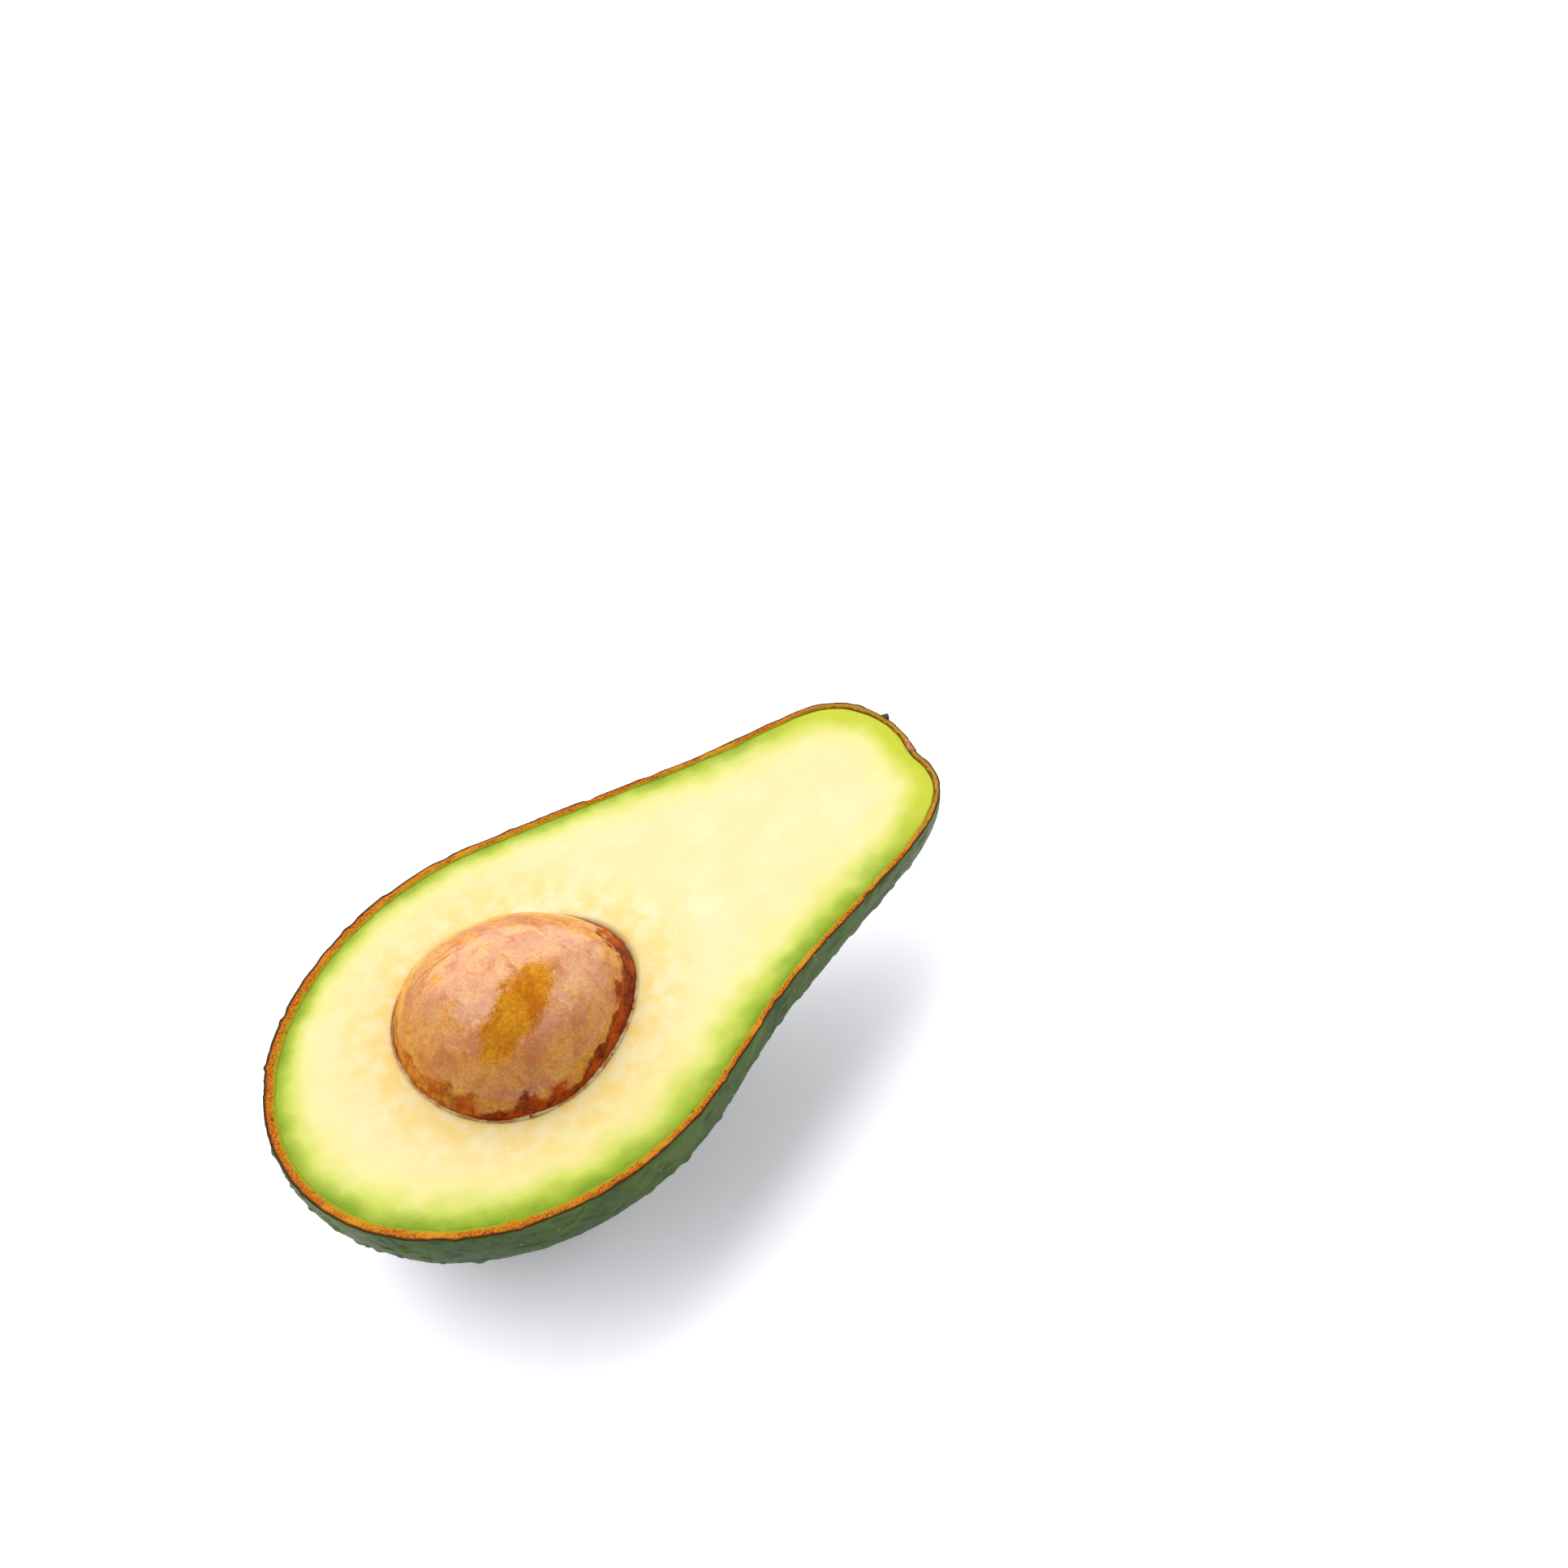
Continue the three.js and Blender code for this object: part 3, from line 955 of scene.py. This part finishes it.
lengthwise, around = np.meshgrid(
    np.linspace(0, math.pi, STONE_ROWS + 1),
    np.arange(STONE_COLUMNS) * 2 * math.pi / STONE_COLUMNS,
    indexing="ij",
)
egg = stone_points(lengthwise, around)
egg_out = egg - STONE_MIDDLE
egg_out = egg_out / np.linalg.norm(egg_out, axis=2, keepdims=True)
print("The egg is", np.ptp(egg[..., 0]).round(1), "mm long")

# %% Lumps and crease
FULLER_SIDE = 0.5
CREASE_FACING = np.array([0.303, 0.95, -0.078])
CREASE_AWAY = 5.6
CREASE_HALF_WIDTH = 0.45
CREASE_DEPTH = 0.05
lumps = 0.22 * soft_noise(egg, 11.0, 101) + 0.1 * soft_noise(egg, 4.6, 102)
lumps = lumps + 0.06 * soft_noise(egg, (3.4, 2.4, 2.4), 103)
lumps = lumps + 0.03 * soft_noise(egg, 1.5, 106)
lumps = lumps + 0.008 * rough_noise(egg, 1.0, 105)
fuller = ease(0.6 * egg_out[..., 1] + 0.5 * egg_out[..., 2], 0.35, 0.75)
lumps = lumps + FULLER_SIDE * fuller
from_middle = egg - STONE_MIDDLE
crease_line = from_middle @ CREASE_FACING - CREASE_AWAY - 0.2 * soft_noise(egg, 4.0, 104)
crease_span = ease(from_middle[..., 0], -13, -11) * (1 - ease(from_middle[..., 0], -2, 1))
crease_span = crease_span * ease(from_middle[..., 2], 5, 8)
groove = np.exp(-(crease_line / CREASE_HALF_WIDTH) ** 2) * crease_span
stem_side = ease(egg[..., 0] - 0.35 * egg[..., 1], -9, 3)
# Painted glow: a mask on the far side of the stone, where amber colour stands in for light shining
# through its thin skin from the flesh.
glow = ease(0.66 * egg_out[..., 1] - 0.75 * egg_out[..., 0], 0.15, 0.75)
egg = egg + egg_out * (lumps - CREASE_DEPTH * groove)[..., None]
print("The lumps run from", lumps.min().round(2), "to", lumps.max().round(2), "mm")

# %% Build the stone
stone = Builder("crease", "crease_mm", "height_mm", "stem_side", "glow")
rows = [stone.add(egg[0, :1])]
for row in range(1, STONE_ROWS):
    values = {"crease": crease_span[row], "crease_mm": crease_line[row]}
    values.update(stem_side=stem_side[row], glow=glow[row])
    rows.append(stone.add(egg[row], height_mm=egg[row, :, 2] - CUT_Z, **values))
rows.append(stone.add(egg[-1, :1]))
for first, second in zip(rows, rows[1:]):
    stone.join(first, second)
print("The stone stands", (egg[..., 2].max() - CUT_Z).round(2), "mm out of the cut face")

# %% [markdown]
# ## Stone: material
# Chestnut to ochre, mottled and finely fibrous, and redder and darker low down next to the
# flesh. The far side is painted amber as a glow, standing in for light that shines through
# the thin skin from the flesh. A clear moist film over it gives the broad sharp-edged
# highlights, so the shader has a coat, which thins out in worn patches and ends in a ragged
# line above the flesh.

# %% Stone colours under the film
stone_material, n, shader = new_material(
    "stone", Roughness=0.6, IOR=1.45, Specular_IOR_Level=0.05,
    Coat_Roughness=0.09, Coat_IOR=1.78,
)
place = n.millimetres()
warp = n.add("ShaderNodeTexNoise", {"Vector": place, "Scale": 0.3, "Detail": 3.0})
bent = n.add(
    "ShaderNodeVectorMath", {0: warp.outputs["Color"], 1: (6, 6, 6)}, operation="MULTIPLY"
)
bent = n.add("ShaderNodeVectorMath", {0: bent.outputs[0], 1: place}, operation="ADD").outputs[0]
ochre = n.group(clouds, {
    "Place": bent, "Size mm": 4.5, "Roughness": 0.65, "Low": 0.36, "High": 0.64,
    "First": colour(194, 110, 8), "Second": colour(224, 154, 30),
})
fibre = n.group(fibres, {
    "Place": bent, "Width mm": 0.5, "Stretch": (0.5, 1, 0.6), "Contrast": 0.16,
})
ochre = n.mix(n.math("MULTIPLY", fibre, 0.28), ochre, colour(160, 78, 8))
freckle = n.group(clouds, {
    "Place": place, "Size mm": 0.45, "Roughness": 0.8, "Low": 0.44, "High": 0.6,
    "First": colour(0, 0, 0), "Second": colour(255, 255, 255),
})
ochre = n.mix(n.math("MULTIPLY", freckle, 0.42), ochre, colour(146, 72, 8))
vein_noise = n.add("ShaderNodeTexNoise", {"Vector": bent, "Scale": 0.4, "Detail": 1.0})
vein_line = n.math("ABSOLUTE", n.math("SUBTRACT", vein_noise.outputs["Fac"], 0.5))
vein_line = n.span(vein_line, 0.0, 0.007, 0.4, 0.0)
ochre = n.mix(vein_line, ochre, colour(232, 176, 80))
print("The upper stone has", len(n.tree.nodes), "nodes")

# %% Bare lower stone, film and crease
wavering = n.add("ShaderNodeTexNoise", {
    "Vector": place, "Scale": 0.26, "Detail": 4.0, "Roughness": 0.55
})
wavering = n.math("MULTIPLY", n.math("SUBTRACT", wavering.outputs["Fac"], 0.5), 11.0)
uneven_height = n.math("ADD", n.value("height_mm"), wavering)
uneven_height = n.math("SUBTRACT", uneven_height, n.math("MULTIPLY", n.value("stem_side"), 2.2))
# The painted glow also lowers the height here, so the far side shows more bare stone and less film.
uneven_height = n.math("SUBTRACT", uneven_height, n.math("MULTIPLY", n.value("glow"), 1.2))
low_down = n.span(uneven_height, 1.8, 3.8, 1.0, 0.0)
bare = n.group(clouds, {
    "Place": place, "Size mm": 4.0, "Roughness": 0.65, "Low": 0.4, "High": 0.6,
    "First": colour(94, 14, 2), "Second": colour(168, 60, 4),
})
streaks = n.group(fibres, {
    "Place": bent, "Width mm": 0.5, "Stretch": (0.4, 0.4, 1.2), "Contrast": 0.12,
})
bare = n.mix(n.math("MULTIPLY", streaks, 0.24), bare, colour(206, 110, 18))
# Painted glow: on the far side, amber colour stands in for light shining through the stone's thin
# skin.
painted_glow_amber = n.group(clouds, {
    "Place": place, "Size mm": 1.6, "Roughness": 0.75, "Low": 0.38, "High": 0.62,
    "First": colour(172, 86, 12), "Second": colour(216, 150, 50),
})
bare = n.mix(n.math("MULTIPLY", n.value("glow"), 0.8), bare, painted_glow_amber)
stone_colour = n.mix(low_down, ochre, bare)
film = n.span(uneven_height, 2.2, 2.9, 0.1, 1.0)
worn = n.add("ShaderNodeTexNoise", {"Vector": bent, "Scale": 0.3, "Detail": 5.0, "Roughness": 0.7})
worn = n.span(worn.outputs["Fac"], 0.52, 0.62, 0.0, 0.55)
film = n.math("MULTIPLY", film, n.math("SUBTRACT", 1.0, worn))
n.tree.links.new(film, shader.inputs["Coat Weight"])
crease_line = n.span(n.math("ABSOLUTE", n.value("crease_mm")), 0.02, 0.14, 0.9, 0.0)
crease_line = n.math("MULTIPLY", crease_line, n.value("crease"))
stone_colour = n.mix(crease_line, stone_colour, colour(96, 46, 12))
n.tree.links.new(stone_colour, shader.inputs["Base Color"])
grain = n.add("ShaderNodeTexNoise", {"Vector": place, "Scale": 1.3, "Detail": 4.0})
bump = n.add("ShaderNodeBump", {"Height": grain.outputs["Fac"], "Distance": 0.00009, "Strength": 0.4})
n.tree.links.new(bump.outputs[0], shader.inputs["Normal"])
n.tree.links.new(bump.outputs[0], shader.inputs["Coat Normal"])
stone.make("stone", "stone", stone_material)

# %% [markdown]
# ## Seed coat: mesh
# The thin brown skin between stone and flesh. When the fruit is cut it tears, and a ragged
# papery lip stays standing on the near side of the stone. A single sheet would show no
# thickness at that lip, so it is a closed shell a quarter of a millimetre thick, and its top
# edge follows noise.

# %% Torn edge of the seed coat
COAT_COLUMNS = 420
COAT_ROWS = 22
COAT_OUT = 0.34
COAT_IN = 0.08
TORN_BELOW = -0.35
LIP_HEADING = math.radians(245)
coat = Builder()
coat_headings = np.arange(COAT_COLUMNS) * 2 * math.pi / COAT_COLUMNS
flat_circle = 20 * ways_at(coat_headings, coat_headings * 0)
ragged = 0.2 + 0.3 * rough_noise(flat_circle, 6.0, 111) + 0.14 * rough_noise(flat_circle, 0.9, 112)
standing = ease(np.cos(coat_headings - LIP_HEADING), -0.2, 0.6)
ragged = np.clip(ragged, -0.3, 0.6) * standing + TORN_BELOW * (1 - standing)
print("The lip's top runs from", ragged.min().round(2), "to", ragged.max().round(2), "mm")

# %% Build the seed coat
coat_rows = []
for grow, steps in ((COAT_OUT, range(COAT_ROWS, 0, -1)), (COAT_IN, range(1, COAT_ROWS + 1))):
    for step in steps:
        top = height_at_cut(coat_headings, grow, ragged)
        share = (step / COAT_ROWS) ** 0.6
        angle = -math.pi / 2 + (top + math.pi / 2) * share
        way = ways_at(coat_headings, angle)
        row = STONE_MIDDLE + way * egg_reach(way, grow)[:, None]
        coat_rows.append(coat.add(row))
outer_pole = coat.add(STONE_MIDDLE + bottom * egg_reach(bottom, COAT_OUT)[:, None])
inner_pole = coat.add(STONE_MIDDLE + bottom * egg_reach(bottom, COAT_IN)[:, None])
outside = coat_rows[:COAT_ROWS]
inside = coat_rows[COAT_ROWS:]
for first, second in zip(outside, outside[1:]):
    coat.join(first, second)
coat.join(outside[-1], outer_pole)
for first, second in zip(inside, inside[1:]):
    coat.join(first, second)
coat.join(inner_pole, inside[0])
coat.join(inside[-1], outside[0])
print("The seed coat has", len(coat.faces), "faces")

# %% [markdown]
# ## Seed coat: material
# Dry thin tissue lets some light through, so it has a little subsurface. It is cream to
# brown, with dark crumbs that stay stuck to it.

# %% Seed coat material
coat_material, n, shader = new_material(
    "seed_coat", Roughness=0.55, IOR=1.45, Subsurface_Weight=0.3, Subsurface_Scale=0.001
)
place = n.millimetres()
paper = n.group(clouds, {
    "Place": place, "Size mm": 2.5, "Roughness": 0.6, "Low": 0.4, "High": 0.6,
    "First": colour(200, 176, 126), "Second": colour(168, 112, 50),
})
bits = n.group(specks, {
    "Place": place, "Spacing mm": 1.1, "Radius": 0.22, "Share": 0.4, "Blur": 0.1,
})
paper = n.mix(bits, paper, colour(96, 50, 22))
n.tree.links.new(paper, shader.inputs["Base Color"])
coat.make("seed_coat", "seed_coat", coat_material)

# %% [markdown]
# ## Stem button: mesh
# A scrap of the dry stem scar is left in the notch at the tip, cut through by the knife, and
# a dark crumb of it sticks to the peel beside the notch. Each bit is a ball squared off into
# a pad, leaned to follow the rim, with rough noise on it. The pads sink into the peel, so
# that they look grown on.

# %% Rough pads
button_low, button_high = [np.array(corner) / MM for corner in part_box("stem_button")]
button_middle = (button_low + button_high) / 2
button_half = (button_high - button_low) / 2
button = Builder("dark")
LUMP_ROWS = 28
LUMP_COLUMNS = 44
LEAN = math.radians(15)
tilt, turn = np.meshgrid(
    np.linspace(-math.pi / 2, math.pi / 2, LUMP_ROWS + 1),
    np.arange(LUMP_COLUMNS) * 2 * math.pi / LUMP_COLUMNS,
    indexing="ij",
)


def rounded(value):
    """Squares off a sine or cosine a little, so that a ball becomes a pad."""
    return np.sign(value) * np.abs(value) ** 0.75


def add_lump(middle, half, dark, seed):
    """Adds one rough fibrous pad to the stem button."""
    ball = np.stack([
        rounded(np.cos(tilt)) * rounded(np.cos(turn)),
        rounded(np.cos(tilt)) * rounded(np.sin(turn)),
        rounded(np.sin(tilt)),
    ], -1)
    pad = ball * half
    along_rim = pad[..., 0] * math.cos(LEAN) + pad[..., 1] * math.sin(LEAN)
    pad[..., 1] = pad[..., 1] * math.cos(LEAN) - pad[..., 0] * math.sin(LEAN)
    pad[..., 0] = along_rim
    pad = middle + pad
    rough = 0.36 * half.min() * rough_noise(pad, (0.8, 0.7, 0.5), seed)
    pad = pad + ball * rough[..., None]
    rows = [button.add(pad[0, :1], dark=dark)]
    rows += [button.add(pad[row], dark=dark) for row in range(1, LUMP_ROWS)]
    rows.append(button.add(pad[-1, :1], dark=dark))
    for first, second in zip(rows, rows[1:]):
        button.join(first, second)


print("The CAD pad is", (2 * button_half).round(2), "mm in size")

# %% Place the scar and the crumb
PAD_TO_NOTCH = np.array([-1.25, 2.0, 0.55])
SCAB_INWARD = 0.75
SCAB_ALONG = 6.25
SCAB_SUNK = 0.4
settled = button_middle + PAD_TO_NOTCH
add_lump(settled, button_half * np.array([0.6, 0.85, 0.75]), 0.0, 121)
add_lump(settled + np.array([0.42, -0.15, -0.3]), np.array([0.36, 1.3, 0.6]), 0.6, 122)
scab = np.array([button_high[0] - SCAB_INWARD, button_high[1] + SCAB_ALONG, CUT_Z - SCAB_SUNK])
add_lump(scab, np.array([0.42, 0.5, 0.5]), 1.0, 123)
add_lump(scab + np.array([-0.1, 0.6, -0.3]), np.array([0.3, 0.35, 0.4]), 0.9, 124)
print("The scar's middle is at", settled.round(2), "mm")

# %% [markdown]
# ## Stem button: material
# Dry wood has no gloss. Two wood colours are mixed in fine clouds, and the crumbs are nearly
# black.

# %% Stem button material
button_material, n, shader = new_material("stem_button", Roughness=0.75, IOR=1.45)
place = n.millimetres()
wood = n.group(clouds, {
    "Place": place, "Size mm": 0.5, "Roughness": 0.7, "Low": 0.4, "High": 0.6,
    "First": colour(194, 130, 60), "Second": colour(138, 92, 62),
})
wood = n.mix(n.value("dark"), wood, colour(62, 46, 38))
n.tree.links.new(wood, shader.inputs["Base Color"])
button.make("stem_button", "stem_button", button_material)

# %% [markdown]
# ## Table
# A plain white table. It sends back less light than it shows to the camera, so that the
# background is white while the shadow under the fruit stays soft and close.

# %% Table
FLOOR = 6.0
floor_mesh = bpy.data.meshes.new("floor")
floor_mesh.from_pydata(
    [(-FLOOR, -FLOOR, 0), (FLOOR, -FLOOR, 0), (FLOOR, FLOOR, 0), (-FLOOR, FLOOR, 0)],
    [], [(0, 1, 2, 3)],
)
floor = bpy.data.objects.new("floor", floor_mesh)
bpy.context.scene.collection.objects.link(floor)
floor_material, n, shader = new_material("floor")
matt = n.add("ShaderNodeBsdfDiffuse")
direct = n.add("ShaderNodeLightPath").outputs["Is Camera Ray"]
n.tree.links.new(n.mix(direct, (0.6, 0.6, 0.6, 1), (1.37, 1.34, 1.38, 1)), matt.inputs["Color"])
surface = floor_material.node_tree.nodes["Material Output"].inputs["Surface"]
n.tree.links.new(matt.outputs[0], surface)
n.tree.nodes.remove(shader)
floor_mesh.materials.append(floor_material)
print("The table is", 2 * FLOOR, "m wide")

# %% [markdown]
# ## Light
# The fruit stands in a white tent, as in a food studio. A broad bright part of the tent is
# behind and above the fruit, and a dark oval gap above it shows in the stone's film. Area
# lamps could do the same, but their square outlines would show in the film too.

# %% Sky directions
def sky_way(heading, height):
    """Unit vector to a heading, 0 in front and 90 at the stem end, and a height, in degrees."""
    heading = math.radians(heading)
    height = math.radians(height)
    return Vector((
        math.sin(heading) * math.cos(height),
        -math.cos(heading) * math.cos(height),
        math.sin(height),
    ))


TENT = 0.68
LAMP = 2.3
GAP_LENGTH = 0.84
GAP_WIDTH = 0.37
lamp_way = sky_way(141, 56)
gap_middle = sky_way(18, 74)
gap_long = sky_way(-68, 0)
gap_long = (gap_long - gap_long.dot(gap_middle) * gap_middle).normalized()
gap_short = gap_middle.cross(gap_long)
print("The light comes from", [round(v, 2) for v in lamp_way])

# %% White tent
world = bpy.data.worlds.new("world")
world.use_nodes = True
n = Nodes(world.node_tree)
way = n.add("ShaderNodeTexCoord").outputs["Generated"]


def along(direction):
    """How far each sky direction goes along one fixed direction."""
    node = n.add("ShaderNodeVectorMath", {0: way, 1: tuple(direction)}, operation="DOT_PRODUCT")
    return node.outputs["Value"]


long_part = n.math("POWER", n.math("DIVIDE", along(gap_long), GAP_LENGTH), 2.0)
short_part = n.math("POWER", n.math("DIVIDE", along(gap_short), GAP_WIDTH), 2.0)
gap = n.span(n.math("ADD", long_part, short_part), 0.7, 1.25, 1.0, 0.0)
gap = n.math("MULTIPLY", gap, n.span(along(gap_middle), 0.0, 0.2))
lamp = n.span(along(lamp_way), 0.0, 0.98, 0.0, LAMP)
tent = n.math("MULTIPLY", n.math("ADD", lamp, TENT), n.math("SUBTRACT", 1.0, gap))
seen = n.add("ShaderNodeLightPath").outputs["Is Camera Ray"]
strength = n.math("MULTIPLY_ADD", n.math("SUBTRACT", 1.0, tent), seen, tent)
background = world.node_tree.nodes["Background"]
background.inputs["Color"].default_value = (1.0, 1.0, 1.06, 1)
n.tree.links.new(strength, background.inputs["Strength"])
bpy.context.scene.world = world
bpy.context.scene.view_settings.view_transform = "Standard"
print("The tent has", len(n.tree.nodes), "nodes")
